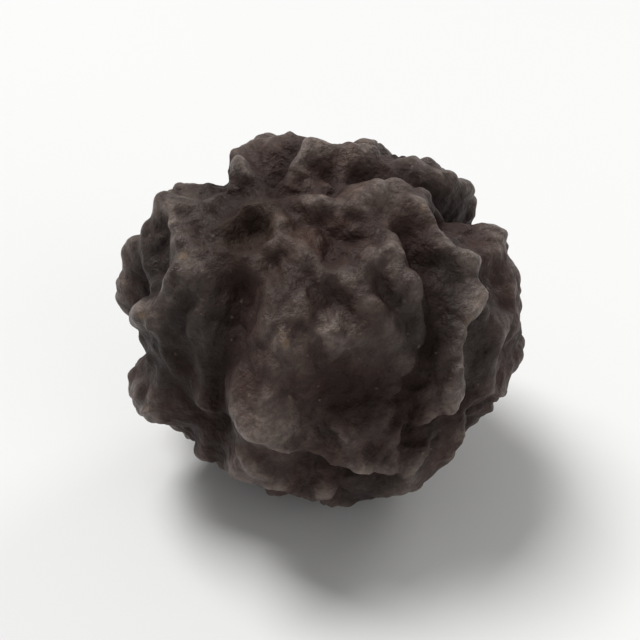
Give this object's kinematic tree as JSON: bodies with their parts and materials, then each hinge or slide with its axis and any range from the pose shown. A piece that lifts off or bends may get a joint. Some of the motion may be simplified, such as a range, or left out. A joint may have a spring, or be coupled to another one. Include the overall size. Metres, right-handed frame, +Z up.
{
  "type": "black peppercorn",
  "caption": "Dried black peppercorn: a small round fruit with a deeply wrinkled skin, a stem scar and a small flat spot to rest on.",
  "frame": {"origin": "under the middle of the fruit's box, on the flat spot that it rests on", "axes": "+Z up, +X to the right and +Y away from the viewer, as the picture is seen; the stem scar is up at the front left"},
  "size_m": [0.0054, 0.005, 0.0049],
  "materials": {
    "dried_skin": "dry wrinkled skin, charcoal brown, low soft gloss on the ridges"
  },
  "bodies": {
    "root": {"peppercorn": "dried_skin"}
  },
  "joints": []
}
